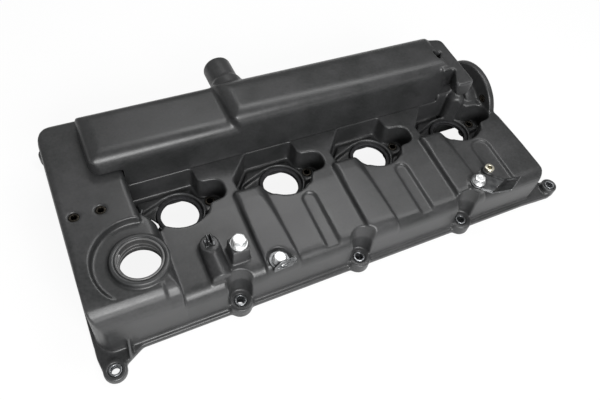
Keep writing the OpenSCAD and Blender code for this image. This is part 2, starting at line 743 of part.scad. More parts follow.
// Upper half of the duct
module duct_box(x0, x1, z, edge, slope, d) {
  foot = land_z - 10;
  intersection() {
    run_x(x0 + d, x1 - d)
      outline([[duct_y, foot], [duct_rear_y, foot], [duct_rear_y, z - slope], [duct_rear_y - slope, z],
        [duct_y + 1, z]], [0, 0, slope, slope, edge], d);
    run_y(duct_y, duct_rear_y)
      outline([[x0, foot], [x1, foot], [x1, z], [x0, z]], [0, 0, edge * 0.8, edge], d);
    run_z(foot + d, z)
      outline([[x0, duct_y], [x1, duct_y], [x1, duct_rear_y], [x0, duct_rear_y]],
        [edge, edge * 0.6, edge, edge], d);
  }
}
module duct_body(d) {
  duct_box(duct_left_x, tall_end_x, low_z, duct_edge_r, low_slope, d);
  duct_box(tall_x, tall_end_x, tall_z, duct_edge_r + 1, tall_slope, d);
}
// Bridge from the duct's end to the front: its finger widens toward the front and hangs over the last well
module bridge() {
  x1 = tall_end_x + bridge_t;
  finger_h = 16;
  intersection() {
    run_z(land_z, bridge_z) outline([[tall_end_x - 11, bridge_y], [x1 - 3, bridge_y], [x1, duct_rear_y - 22],
      [tall_end_x - 4, duct_rear_y - 18], [tall_end_x - 11, duct_y - 1], [tall_end_x + 3, duct_y - 1]],
      [3, 3, 6, 4, 2, 2]);
    run_x(tall_end_x - 12, x1 + 1)
      outline([[duct_y, neck_z1], [duct_rear_y, neck_z1], [duct_rear_y, bridge_z], [bridge_y - 1, bridge_z],
        [bridge_y - 1, bridge_z - finger_h], [duct_y, bridge_z - finger_h - 4]], [0, 0, 0, 0, 0, 4]);
    run_y(bridge_y - 1, duct_rear_y)
      polygon([[tall_end_x - 3, land_z], [x1 + 1, land_z], [x1 + 1, bridge_z], [tall_end_x - 12, bridge_z],
        [tall_end_x - 3, bridge_z - finger_h]]);
  }
}
stub_collar = 1.6;
module stub(r, y1) {
  y0 = duct_rear_y - tall_slope - 5.5;
  translate([stub_x, y0, stub_z]) rotate([-90, 0, 0]) cylinder(h = y1 - y0, r = r);
}
module duct_shell() color(plastic) difference() {
  union() {
    duct_body(0);
    bridge();
    stub(stub_r, stub_y);
    // Collar at the stub's root, a flat stop for the hose
    stub(stub_r + stub_collar, duct_rear_y + stub_collar / 2);
  }
  duct_body(wall);
  stub(stub_r - stub_wall, stub_y + 1);
  // Everything below the weld line, and below the plate at the left end
  block(duct_left_x - 1, tall_end_x + bridge_t + 1, duct_y - 1, duct_rear_y + 1, 0, land_z);
  block(duct_left_x - 1, plate_x, duct_y - 1, duct_rear_y + 1, 0, plate_z);
  block(neck_x0, tall_end_x + bridge_t + 1, duct_y - 1, neck_y1 + wall + 1, 0, neck_z1 + wall);
  // Three-sided pocket beside the bridge
  run_z(bridge_z - 10, tall_z + 1)
    outline([[tall_end_x - 9, duct_y + 11], [tall_end_x + 4, duct_y + 25], [tall_end_x - 9, duct_y + 24]],
      [1, 1, 1]);
}

module cover_gasket() color(rubber) difference() {
  run_z(0, gasket_t) outline(rail_pts, rail_radii, gasket_inset + fit_gap);
  run_z(-1, gasket_t + 1) outline(rail_pts, rail_radii, gasket_inset + gasket_w - fit_gap);
}
module injector_seal(k) color(rubber) difference() {
  post(bore_x(k), bore_y, seal_seat_r - fit_gap, seal_z, seal_z + seal_h);
  post(bore_x(k), bore_y, bore_r, seal_z - 1, seal_z + seal_h + 1);
}
module runner_seal(k) color(rubber) difference() {
  grow = 2 * (runner_seal_gap + runner_seal_w - fit_gap);
  hole = 2 * (runner_seal_gap + fit_gap);
  slot(bore_x(k), runner_y, runner_l + grow, runner_w + grow, 0, runner_seal_t);
  slot(bore_x(k), runner_y, runner_l + hole, runner_w + hole, -1, runner_seal_t + 1);
}
module filler_insert() color("#8f9092") difference() {
  top = filler_z + filler_ring_h;
  post(filler_x, filler_y, filler_bore_r + filler_insert_t - fit_gap, top - filler_insert_l, top);
  post(filler_x, filler_y, filler_bore_r, top - filler_insert_l - 1, top + 1);
}
module sleeve(p, z1) {
  difference() {
    post(p[0], p[1], sleeve_r - fit_gap, 0, z1);
    post(p[0], p[1], sleeve_bore_r, -1, z1 + 1);
  }
}
module row_sleeves(y) color(steel) for (i = screw_cols) sleeve([i * screw_pitch_x, y], seat_z);
module front_screw_sleeves() row_sleeves(front_row_y);
module rear_screw_sleeves() row_sleeves(rear_row_y);
module ear_sleeve_left() color(steel) sleeve(ear_left, flange_t + 1.2);
module ear_sleeve_right() color(steel) sleeve(ear_right, seat_z);
module rear_corner_sleeves() color(steel) for (p = [rear_left, rear_right]) sleeve(p, seat_z);
module clamp_screw_inserts() color(brass) for (k = bores) {
  x = bore_x(k) + clamp_dx;
  y = bore_y + clamp_dy;
  difference() {
    post(x, y, clamp_insert_r - fit_gap, well_z - clamp_insert_l, well_z);
    post(x, y, clamp_bore_r, well_z - clamp_insert_l - 1, well_z + 1);
  }
}
module plate_screw_inserts() color(brass) for (p = plate_holes) difference() {
  post(p[0], p[1], plate_insert_r - fit_gap, plate_z - insert_l, plate_z - 1);
  post(p[0], p[1], plate_insert_bore_r, plate_z - insert_l - 1, plate_z);
}

// Flanged hex bolt: head, flange and shank
module hex_bolt(x, y, z, af, flange_r, head_h, shank_l) {
  post(x, y, screw_r - fit_gap, z - shank_l, z + eps);
  post(x, y, flange_r, z, z + 1.6);
  translate([x, y, z + 1.5]) cylinder(h = head_h, r = af / 2 / cos(30), $fn = 6);
}
washer_t = 1.2;
module boss_washer() color(steel) difference() {
  post(boss_x, boss_y, 7, boss_z, boss_z + washer_t);
  post(boss_x, boss_y, screw_r + 0.2, boss_z - 1, boss_z + washer_t + 1);
}
module boss_bolt() color(steel) hex_bolt(boss_x, boss_y, boss_z + washer_t, bolt_af, 6.4, 4.5, 14);
// Bent wire clip, standing in the clip boss
module spring_clip() color(steel) {
  w = 7;
  foot = clip_r / 2;
  translate([clip_x, 0, clip_z]) run_y(clip_y - w / 2, clip_y + w / 2)
    polygon([[-foot, 0], [foot, 0], [foot, 1.2], [1.6, 1.2], [2.4, 8], [1.2, 8.4], [0, 2.4], [-1.2, 8.4],
      [-2.4, 8], [-1.6, 1.2], [-foot, 1.2]]);
}
// Angle of sheet: its upright has a slot in front of the screw and a small one beside it
tab_y = -5.2;
tab_x0 = -7;
tab_x1 = 12.5;
tab_down = 4.5;
tab_up = 8.5;
module left_bracket() color(steel) translate([br1_x, br1_y, br1_z]) difference() {
  union() {
    run_z(0, sheet_t) {
      circle(r = br_seat_r - 0.5);
      translate([tab_x0, tab_y - sheet_t]) square([tab_x1 - tab_x0, -tab_y]);
    }
    run_y(tab_y - sheet_t, tab_y)
      outline([[tab_x0, -tab_down], [tab_x1 - 3, -tab_down + 2], [tab_x1, tab_up - 1], [tab_x0 + 4, tab_up],
        [tab_x0, tab_up - 5]], [1, 2, 1, 3, 2]);
  }
  post(0, 0, screw_r + 0.2, -1, sheet_t + 1);
  run_y(tab_y - 2 * sheet_t, tab_y + sheet_t) {
    translate([-1, 2.2]) square([6, 2.4]);
    translate([7.4, 3]) square([3.4, 1.6]);
  }
}
module left_bracket_screw() color(steel) hex_bolt(br1_x, br1_y, br1_z + sheet_t, 9, 6.2, 4, 12);
// Strip of sheet whose front end is folded up along a slanted line
fold_p = [9, -16.5];
fold_angle = 29;
fold_l = 17;
fold_up = 40;
fold_w = 11;
module right_bracket() color(steel) translate([br2_x, br2_y, br2_z]) {
  fold_end = fold_p + fold_l * [cos(fold_angle), sin(fold_angle)];
  difference() {
    run_z(0, sheet_t)
      outline([[-6, 6], [-9, -3], fold_p, fold_end, [6, 11]], [8, 8, 0, 0, 9]);
    post(0, 0, screw_r + 0.2, -1, sheet_t + 1);
  }
  translate([fold_p[0], fold_p[1], 0]) rotate([0, 0, fold_angle]) rotate([-fold_up, 0, 0]) difference() {
    translate([0, -fold_w, 0]) cube([fold_l, fold_w + sheet_t * sin(fold_up) / 2, sheet_t]);
    translate([fold_l - 9, -fold_w + 2.4, -1]) cube([6.5, 1.8, sheet_t + 2]);
  }
}
module right_bracket_screw() color(steel) hex_bolt(br2_x, br2_y, br2_z + sheet_t, 9, 6.2, 4, 12);
module brass_stud() color(brass) {
  post(stud_p[0], stud_p[1], screw_r - fit_gap, stud_seat_z - stud_bore_d + 1, stud_seat_z + eps);
  post(stud_p[0], stud_p[1], 4.6, stud_seat_z, stud_seat_z + 3.5);
}
port_insert_r = 3.5;
port_insert_bore_r = 2;
port_insert_l = 7;
port_hole_over = 0.5;
module port_insert_spots() {
  ring = (port_r + port_bore_r) / 2;
  for (a = [45, 135]) translate([port_x - port_insert_l, port_y + ring * cos(a), port_z + ring * sin(a)])
    rotate([0, 90, 0]) children();
}
module port_inserts() color(brass) port_insert_spots() difference() {
  cylinder(h = port_insert_l, r = port_insert_r - fit_gap);
  translate([0, 0, -1]) cylinder(h = port_insert_l + 2, r = port_insert_bore_r);
}

cover_shell();
duct_shell();
cover_gasket();
injector_seal(0);  // injector_seal_1
injector_seal(1);  // injector_seal_2
injector_seal(2);  // injector_seal_3
injector_seal(3);  // injector_seal_4
runner_seal(0);  // runner_seal_1
runner_seal(1);  // runner_seal_2
runner_seal(2);  // runner_seal_3
runner_seal(3);  // runner_seal_4
filler_insert();
front_screw_sleeves();
rear_screw_sleeves();
ear_sleeve_left();
ear_sleeve_right();
rear_corner_sleeves();
clamp_screw_inserts();
plate_screw_inserts();
boss_bolt();
boss_washer();
spring_clip();
left_bracket();
left_bracket_screw();
right_bracket();
right_bracket_screw();
brass_stud();
port_inserts();
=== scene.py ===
# Moulded black valve cover with its air duct: moulded shells, seals, inserts, screws and sheet brackets.
import math

import bmesh
import bpy
import numpy as np
import openvdb as vdb
from mathutils import Matrix, Vector


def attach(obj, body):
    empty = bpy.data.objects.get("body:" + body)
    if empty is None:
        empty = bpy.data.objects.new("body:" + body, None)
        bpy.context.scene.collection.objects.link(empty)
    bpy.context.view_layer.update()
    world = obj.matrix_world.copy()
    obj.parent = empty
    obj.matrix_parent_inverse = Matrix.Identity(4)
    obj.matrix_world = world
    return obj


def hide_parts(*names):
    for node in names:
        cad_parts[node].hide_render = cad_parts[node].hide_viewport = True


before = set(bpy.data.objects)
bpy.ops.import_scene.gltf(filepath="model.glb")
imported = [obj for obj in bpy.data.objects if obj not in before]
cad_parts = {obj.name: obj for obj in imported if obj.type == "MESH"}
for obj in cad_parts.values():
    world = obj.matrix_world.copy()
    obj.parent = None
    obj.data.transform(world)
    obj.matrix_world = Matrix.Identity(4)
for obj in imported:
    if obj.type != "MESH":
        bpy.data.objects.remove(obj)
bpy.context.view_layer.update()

MM = 0.001
BODY = "root"

# Sizes and places in millimetres, taken or worked out from the part's source
CYL_PITCH = 96.0
FIRST_BORE_X = -133.5
BORE_Y = -14.0
BORE_R = 17.6
SEAL_R = 19.8
SEAL_Z = (20.5, 25.0)
SCREW_PITCH_X = 112.5
SCREW_ROW_Y = 103.0
SEAT_Z = 12.0
EAR_LEFT = (-219.0, -119.0, 7.2)
EAR_RIGHT = (228.0, -101.0, 12.0)
REAR_CORNERS = ((-222.0, 103.0, 12.0), (203.0, 103.0, 12.0))
SLEEVE_R = 5.0
SLEEVE_BORE_R = 3.4
CLAMP_OFFSET = (28.5, 4.0)
CLAMP_INSERT_R = 4.5
CLAMP_BORE_R = 2.6
CLAMP_Z = (14.0, 26.0)
PLATE_HOLES = ((-215.0, -15.3), (-195.0, -15.3))
PLATE_INSERT_R = 4.0
PLATE_BORE_R = 2.2
PLATE_INSERT_Z = (56.0, 64.0)
FILLER = (-179.5, -66.0)
FILLER_Z = (46.0, 62.0)
FILLER_BORE_R = 16.3
FILLER_WALL = 1.8
RUNNER_Y = 46.5
RUNNER_SIZE = (52.0, 22.0)
RUNNER_SEAL_OVER = 9.0
GASKET_X = (-212.0, 193.0)
GASKET_Y = 91.0
GASKET_CORNER_R = 3.0
BEAD_MID_Z = 1.5
BOSS_BOLT = (-106.0, -78.3, 59.2)
WASHER_R = 7.0
WASHER_T = 1.2
LEFT_SCREW = (-77.8, -96.0, 44.1)
RIGHT_SCREW = (126.5, -90.0, 48.6)
STUD = (147.0, -80.0, 46.0)
SHEET_T = 1.6
WELD_Z = 45.0

# Forms too fine for the solids, in millimetres too

# Seal's body, a little clear of its seat, and its lips, which reach as far on both sides of the bore's wall
SEAL_BORE_CLEAR = 0.5
SEAL_TOP_CLEAR = 0.3
LIP_REACH = 1.2
LIP_H = 1.2

# Filler's thread: its start above the sleeve's foot, and how far its root sinks into the wall
THREAD_START = 3.0
THREAD_SINK = 0.1

# Thin flash along the weld: how far it stands out, and half its height
WELD_FLASH = 1.1
WELD_FLASH_HALF_H = 0.7

# Scalloped front of a well: the cut, and the wall left behind it
SCALLOP_R = 26.8
SCALLOP_WALL_R = 29.5
SCALLOP_BEHIND_BORE = 1.0
SCALLOP_END_BEFORE_BORE = 16.0
SCALLOP_FLOOR_Z = 25.6
SCALLOP_WALL_Z = (21.0, 43.6)

# Opened corner of the first well in plan, anticlockwise: what its wall follows, and what is cut away
WELL_CORNER = ((-168.0, -23.2), (-156.8, -37.5), (-153.4, -31.9), (-163.8, -14.3))
WELL_CUT = ((-168.7, -21.4), (-156.8, -37.5), (-147.4, -28.4), (-160.4, -8.1))
WELL_WALL = 2.8
WELL_WALL_Z = (19.0, 43.5)
WELL_FLOOR_Z = 22.0
WELL_BOSS_R = 23.0

# Drain slot in that corner's floor: its middle, its shift per millimetre down, its direction and size
DRAIN = (-156.4, -8.6, 16.0)
DRAIN_LEAN = (0.11, 0.67)
DRAIN_RUN = (0.5, -0.87)
DRAIN_HALF_L = 3.0
DRAIN_END_R = 1.5
DRAIN_TOP_Z = 30.0

# Web over the part of the fourth outlet that lies behind the port's neck: its ends in X, Y and Z
OUTLET_WEB = ((156.5, 184.0), (42.5, 60.0), (5.0, 9.0))

# Right bracket: its upright end from the fold up, the slot in it, the strip before it and the fold's line
TAB = ((130.8, -105.3, 47.6), (154.2, -96.5, 47.6), (163.9, -101.1, 56.5), (143.4, -113.1, 56.5))
TAB_SLOT = ((151.8, -99.1, 49.4), (153.6, -98.5, 49.4), (159.8, -101.5, 54.7), (157.8, -102.2, 54.7))
STRIP_END = ((130.8, -105.3, 47.6), (154.2, -96.5, 47.6), (146.0, -89.0, 47.6), (123.0, -98.0, 47.6))
FOLD_RUN = (0.936, 0.352)
STRIP_TOP_Z = 48.8


def bore_x(k):
    """X of an injector bore, counted from 0 at the left."""
    return FIRST_BORE_X + k * CYL_PITCH


# Objects, nodes and materials

def in_scene(name, data):
    """A new object that shows a mesh, a lamp or a camera."""
    obj = bpy.data.objects.new(name, data)
    bpy.context.scene.collection.objects.link(obj)
    return obj


def settle(obj, modifier):
    """Keeps what a modifier makes as the object's own plain mesh."""
    mesh = bpy.data.meshes.new_from_object(obj.evaluated_get(bpy.context.evaluated_depsgraph_get()))
    obj.modifiers.remove(modifier)
    obj.data = mesh
    mesh.name = obj.name
    return mesh


def add(nodes, kind, place=(0, 0), props=None, **values):
    """One node with its settings; a value that is a socket is linked, any other is set."""
    n = nodes.new(kind)
    n.location = place
    for key, value in (props or {}).items():
        setattr(n, key, value)
    for key, value in values.items():
        numbered = key[0] == "i" and key[1:].isdigit()
        s = n.inputs[int(key[1:]) if numbered else key.replace("_", " ")]
        if isinstance(value, bpy.types.NodeSocket):
            n.id_data.links.new(value, s)
        else:
            s.default_value = value
    return n


def srgb(hex_code):
    """An sRGB hex colour as linear RGBA."""
    parts = [int(hex_code[i:i + 2], 16) / 255 for i in (1, 3, 5)]
    return tuple(c / 12.92 if c <= 0.04045 else ((c + 0.055) / 1.055) ** 2.4 for c in parts) + (1.0,)


def surface(name):
    """An empty material and its nodes."""
    mat = bpy.data.materials.new(name)
    mat.use_nodes = True
    mat.node_tree.nodes.clear()
    return mat, mat.node_tree.nodes


def per_mm(size):
    """Texture scale on Object coordinates, in metres, for a pattern of that size in millimetres."""
    return 1.0 / (size * MM)


def two_tones(ramp, low, high, base, light):
    """Turns a ramp from one tone to a lighter one between two values."""
    for stop, position, colour in zip(ramp.elements, (low, high), (base, light)):
        stop.position = position
        stop.color = srgb(colour)


def painted_edge_highlights(nodes, tone, edge, low, high):
    """Lightens a tone toward a paler colour along sharp outer edges: painted highlights where such edges
    would catch the light.
    """
    sharp = add(nodes, "ShaderNodeNewGeometry", (-900, 520)).outputs["Pointiness"]
    mask = add(nodes, "ShaderNodeMapRange", (-700, 520), Value=sharp, From_Min=low, From_Max=high)
    mix = add(nodes, "ShaderNodeMix", (-300, 400), {"data_type": "RGBA"},
              i0=mask.outputs["Result"], i6=tone, i7=srgb(edge))
    return mix.outputs[2]


def moulded_plastic(name, base, light, rough, grain_mm, grain_height, edge):
    """Glass-filled nylon from a spark-eroded mould: even grain, cloudy sheen, and painted highlights that
    make the sharp edges paler.
    """
    cloud_mm = 38
    fleck_mm = 2.2
    mat, nodes = surface(name)
    where = add(nodes, "ShaderNodeTexCoord", (-1200, 0)).outputs["Object"]
    cloud = add(nodes, "ShaderNodeTexNoise", (-950, 200), Vector=where, Scale=per_mm(cloud_mm), Detail=4.0,
                Roughness=0.6)
    fleck = add(nodes, "ShaderNodeTexNoise", (-950, -60), Vector=where, Scale=per_mm(fleck_mm), Detail=2.0,
                Roughness=0.5)
    # The real grain is finer than a pixel of the render, so it is drawn coarser
    grain = add(nodes, "ShaderNodeTexNoise", (-950, -320), Vector=where, Scale=per_mm(grain_mm), Detail=3.0,
                Roughness=0.65)
    mottle = add(nodes, "ShaderNodeMix", (-700, 80), {"data_type": "FLOAT"}, Factor=0.35,
                 i2=cloud.outputs["Fac"], i3=fleck.outputs["Fac"])
    tone = add(nodes, "ShaderNodeValToRGB", (-480, 200), Fac=mottle.outputs[0])
    two_tones(tone.color_ramp, 0.36, 0.66, base, light)
    gloss = add(nodes, "ShaderNodeMapRange", (-480, -80), Value=mottle.outputs[0],
                From_Min=0.35, From_Max=0.65, To_Min=rough - 0.05, To_Max=rough + 0.06)
    bump = add(nodes, "ShaderNodeBump", (-480, -320), Strength=0.35, Distance=grain_height * MM,
               Height=grain.outputs["Fac"])
    # Painted highlights: sharp edges lightened toward the edge colour
    edge_treated = painted_edge_highlights(nodes, tone.outputs["Color"], edge, 0.52, 0.62)
    shader = add(nodes, "ShaderNodeBsdfPrincipled", (-80, 100), Base_Color=edge_treated, IOR=1.5,
                 Roughness=gloss.outputs["Result"], Normal=bump.outputs["Normal"])
    add(nodes, "ShaderNodeOutputMaterial", (150, 100), Surface=shader.outputs["BSDF"])
    return mat


def metal(name, base, light, rough, mark_mm, edge, stretch=(1, 1, 1)):
    """Bare or plated metal: tone and gloss vary along the marks that the making left, and painted
    highlights lighten the sharp edges.
    """
    stain_mm = 5.0
    mark_depth = 0.02
    mat, nodes = surface(name)
    where = add(nodes, "ShaderNodeTexCoord", (-1200, 0)).outputs["Object"]
    turned = add(nodes, "ShaderNodeMapping", (-1000, 0), Vector=where, Scale=stretch).outputs["Vector"]
    # Real marks are finer than a pixel of the render, so they are drawn coarser
    marks = add(nodes, "ShaderNodeTexNoise", (-780, -120), Vector=turned, Scale=per_mm(mark_mm), Detail=3.0)
    stain = add(nodes, "ShaderNodeTexNoise", (-780, 160), Vector=where, Scale=per_mm(stain_mm), Detail=3.0)
    tone = add(nodes, "ShaderNodeValToRGB", (-520, 160), Fac=stain.outputs["Fac"])
    two_tones(tone.color_ramp, 0.35, 0.6, base, light)
    gloss = add(nodes, "ShaderNodeMapRange", (-520, -80), Value=marks.outputs["Fac"],
                From_Min=0.3, From_Max=0.7, To_Min=rough - 0.06, To_Max=rough + 0.1)
    bump = add(nodes, "ShaderNodeBump", (-520, -320), Strength=0.3, Distance=mark_depth * MM,
               Height=marks.outputs["Fac"])
    # Painted highlights: sharp edges lightened toward the edge colour
    edge_treated = painted_edge_highlights(nodes, tone.outputs["Color"], edge, 0.53, 0.60)
    shader = add(nodes, "ShaderNodeBsdfPrincipled", (-120, 100), Base_Color=edge_treated, Metallic=1.0,
                 Roughness=gloss.outputs["Result"], Normal=bump.outputs["Normal"])
    add(nodes, "ShaderNodeOutputMaterial", (100, 100), Surface=shader.outputs["BSDF"])
    return mat


def soft_rubber(name, base, light):
    """Moulded nitrile rubber: matt, with the dusty bloom that old seals get."""
    bloom_mm = 3.0
    bloom_depth = 0.05
    mat, nodes = surface(name)
    where = add(nodes, "ShaderNodeTexCoord", (-900, 0)).outputs["Object"]
    bloom = add(nodes, "ShaderNodeTexNoise", (-700, 100), Vector=where, Scale=per_mm(bloom_mm), Detail=4.0)
    tone = add(nodes, "ShaderNodeValToRGB", (-480, 100), Fac=bloom.outputs["Fac"])
    two_tones(tone.color_ramp, 0.4, 0.7, base, light)
    bump = add(nodes, "ShaderNodeBump", (-480, -200), Strength=0.3, Distance=bloom_depth * MM,
               Height=bloom.outputs["Fac"])
    shader = add(nodes, "ShaderNodeBsdfPrincipled", (-200, 0), Base_Color=tone.outputs["Color"],
                 Roughness=0.72, Normal=bump.outputs["Normal"])
    add(nodes, "ShaderNodeOutputMaterial", (100, 0), Surface=shader.outputs["BSDF"])
    return mat


# Cover and duct, injection moulded: dark satin skin, with painted highlights that make the sharp edges
# paler
BLACK_NYLON = moulded_plastic("black_glass_filled_nylon", "#242525", "#353536", 0.37, 0.9, 0.05, "#606162")
# Filler's threaded ring, moulded in a harder grade: smoother, with painted highlights that make the thread
# crests bright
GREY_NYLON = moulded_plastic("grey_filler_neck_nylon", "#3a3a3a", "#4c4c4c", 0.3, 0.9, 0.04, "#b4b4b4")
# Seals and gasket: matt black
RUBBER = soft_rubber("nitrile_rubber", "#17171a", "#2a2a2c")
# Cold-headed screws and the washer, zinc plated: nearly white, with a broken gloss and painted white
# highlights on the sharp edges
ZINC = metal("zinc_plated_steel", "#dcdedf", "#f3f4f4", 0.42, 0.6, "#ffffff")
# Compression sleeves, rolled from strip: plain grey steel, with painted pale highlights on the edges
SLEEVE = metal("rolled_steel_sleeve", "#85878a", "#a6a8aa", 0.36, 0.6, "#d0d2d3")
# Brackets and clip, pressed and black passivated: dark, drawn marks along X, and painted bright highlights
# on the cut edges
SHEET = metal("black_passivated_sheet", "#4b4c4d", "#6a6b6c", 0.34, 0.6, "#f0f0f0", (1, 6, 6))
# Stud, turned and tinned: pale with a warm cast, with painted highlights on the sharp edges
BRASS = metal("tinned_brass", "#bdb8a6", "#e0dccb", 0.34, 0.5, "#f4f0e2")
# Moulded-in inserts: coloured almost as dark as the plastic round them, with painted highlights a little
# paler on the edges
INSERT = metal("dark_insert_brass", "#242220", "#33302b", 0.46, 0.5, "#565048")


# Moulded shells

def node_mesh(name):
    """Points in millimetres and triangles of a CAD node, doubles merged on a copy."""
    bm = bmesh.new()
    bm.from_mesh(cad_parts[name].data)
    bmesh.ops.remove_doubles(bm, verts=bm.verts, dist=1e-6)
    bmesh.ops.triangulate(bm, faces=bm.faces)
    bm.verts.index_update()
    points = np.array([v.co[:] for v in bm.verts], dtype=np.float32) / MM
    faces = np.array([[v.index for v in f.verts] for f in bm.faces], dtype=np.uint32)
    bm.free()
    return points, faces


def solid_field(node, voxel, room):
    """Signed distance to a CAD node, on voxels with some room round it, and the lowest voxel's place."""
    points, faces = node_mesh(node)
    grid = vdb.FloatGrid.createLevelSetFromPolygons(
        points, triangles=faces, transform=vdb.createLinearTransform(voxel), halfWidth=6.0)
    low = np.floor(points.min(0) / voxel).astype(int) - room
    high = np.ceil(points.max(0) / voxel).astype(int) + room + 1
    field = np.empty(tuple(high - low), dtype=np.float32)
    grid.copyToArray(field, ijk=tuple(int(v) for v in low))
    return field, low


def blur(field, sigma):
    """Gaussian blur of a field along its three axes, sigma in voxels."""
    reach = int(math.ceil(2.5 * sigma))
    taps = np.exp(-0.5 * (np.arange(-reach, reach + 1) / sigma) ** 2)
    taps /= taps.sum()
    for axis in range(3):
        pad = [(reach, reach) if a == axis else (0, 0) for a in range(3)]
        wide = np.pad(field, pad, mode="edge")
        out = np.zeros_like(field)
        size = field.shape[axis]
        for i, t in enumerate(taps):
            cut = [slice(None)] * 3
            cut[axis] = slice(i, i + size)
            out += np.float32(t) * wide[tuple(cut)]
        field = out
    return field


def sample(field, at):
    """The field's value at points given in voxels, between its eight neighbours."""
    base = np.clip(np.floor(at).astype(int), 0, np.array(field.shape) - 2)
    f = at - base
    total = np.zeros(len(at), dtype=np.float32)
    for corner in range(8):
        o = [(corner >> a) & 1 for a in range(3)]
        w = np.prod([f[:, a] if o[a] else 1 - f[:, a] for a in range(3)], axis=0)
        total += w * field[base[:, 0] + o[0], base[:, 1] + o[1], base[:, 2] + o[2]]
    return total


def field_skin(field, low, voxel, name, limit):
    """Object with the field's zero surface, in at most so many triangles."""
    grid = vdb.FloatGrid(float(field.max()))
    grid.copyFromArray(field, ijk=(0, 0, 0))
    verts, tris, quads = grid.convertToPolygons(0.0, 0.0)
    mesh = bpy.data.meshes.new(name)
    mesh.from_pydata(((verts + low) * voxel * MM).tolist(), [], tris.tolist() + quads.tolist())
    obj = in_scene(name, mesh)
    count = len(tris) + 2 * len(quads)
    if count > limit:
        fewer = obj.modifiers.new("fewer_faces", "DECIMATE")
        fewer.ratio = limit / count
        settle(obj, fewer)
    return obj


def shade_by_field(mesh, field, low, voxel):
    """Shading normals from the smooth field, so that broad surfaces stay even."""
    at = np.empty(len(mesh.vertices) * 3, dtype=np.float32)
    mesh.vertices.foreach_get("co", at)
    at = at.reshape(-1, 3) / (MM * voxel) - low
    normal = np.empty_like(at)
    for axis in range(3):
        step = np.zeros(3)
        step[axis] = 0.7
        normal[:, axis] = sample(field, at + step) - sample(field, at - step)
    normal /= np.maximum(np.linalg.norm(normal, axis=1), 1e-9)[:, None]
    mesh.polygons.foreach_set("use_smooth", [True] * len(mesh.polygons))
    mesh.normals_split_custom_set_from_vertices(normal.tolist())


def moulded_shell(node, name, voxel, soften, limit, details=None, room=8):
    """The CAD node with the small round edges and corners that a mould leaves, as one closed mesh."""
    field, low = solid_field(node, voxel, room)
    if details:
        field = details(field, low, voxel)
    field = blur(field, soften / voxel)
    obj = field_skin(field, low, voxel, name, limit)
    shade_by_field(obj.data, field, low, voxel)
    return obj


def axes_mm(field, low, voxel):
    """X, Y and Z of a field's voxels in millimetres, each along its own axis."""
    x, y, z = ((np.arange(n) + o).astype(np.float32) * np.float32(voxel) for n, o in zip(field.shape, low))
    return x[:, None, None], y[None, :, None], z[None, None, :]


def largest(*parts):
    """Distance to what all the parts have in common."""
    total = parts[0]
    for part in parts[1:]:
        total = np.maximum(total, part)
    return total


def polygon(x, y, corners):
    """Signed distance from a convex outline whose corners run anticlockwise."""
    sides = []
    for a, b in zip(corners, corners[1:] + corners[:1]):
        length = math.hypot(b[0] - a[0], b[1] - a[1])
        sides.append(((b[1] - a[1]) * (x - a[0]) - (b[0] - a[0]) * (y - a[1])) / length)
    return largest(*sides)


def plate_between(x, y, z, corners, thickness):
    """Signed distance from a flat plate given by its four corners and its thickness."""
    p = [Vector(c) for c in corners]
    normal = (p[1] - p[0]).cross(p[3] - p[0]).normalized()
    off = normal.x * (x - p[0].x) + normal.y * (y - p[0].y) + normal.z * (z - p[0].z)
    parts = [abs(off) - thickness / 2]
    for a, b in zip(p, p[1:] + p[:1]):
        out = (b - a).cross(normal).normalized()
        parts.append(out.x * (x - a.x) + out.y * (y - a.y) + out.z * (z - a.z))
    return largest(*parts)


def drain_slot(x, y, z):
    """Signed distance from a slot with round ends that leans as it goes down."""
    across = x - DRAIN[0] - DRAIN_LEAN[0] * (DRAIN[2] - z)
    along = y - DRAIN[1] - DRAIN_LEAN[1] * (DRAIN[2] - z)
    past_end = np.maximum(np.abs(DRAIN_RUN[0] * across + DRAIN_RUN[1] * along) - DRAIN_HALF_L, 0.0)
    slot = np.hypot(past_end, DRAIN_RUN[0] * along - DRAIN_RUN[1] * across) - DRAIN_END_R
    return largest(slot, z - DRAIN_TOP_Z)


def cover_details(field, low, voxel):
    """The wells' scalloped fronts, the first one's open corner with a drain slot, and the outlet's web."""
    x, y, z = axes_mm(field, low, voxel)
    corner_wall = polygon(x, y, WELL_CORNER) - WELL_WALL
    field = np.minimum(field, largest(corner_wall, z - WELL_WALL_Z[1], WELL_WALL_Z[0] - z))
    for k in range(4):
        reach = np.hypot(x - bore_x(k), y - (BORE_Y + SCALLOP_BEHIND_BORE))
        ahead = y - (BORE_Y - SCALLOP_END_BEFORE_BORE)
        wall = largest(reach - SCALLOP_WALL_R, ahead, z - SCALLOP_WALL_Z[1], SCALLOP_WALL_Z[0] - z)
        field = np.minimum(field, wall)
        field = np.maximum(field, -largest(reach - SCALLOP_R, ahead, SCALLOP_FLOOR_Z - z))
    web = [part for at, (start, end) in zip((x, y, z), OUTLET_WEB) for part in (start - at, at - end)]
    field = np.minimum(field, largest(*web))
    corner = polygon(x, y, WELL_CUT)
    boss = np.hypot(x - bore_x(0), y - BORE_Y) - WELL_BOSS_R
    field = np.maximum(field, -largest(corner, SCALLOP_FLOOR_Z - z))
    field = np.maximum(field, -largest(corner, WELL_FLOOR_Z - z, -boss))
    return np.maximum(field, -drain_slot(x, y, z))


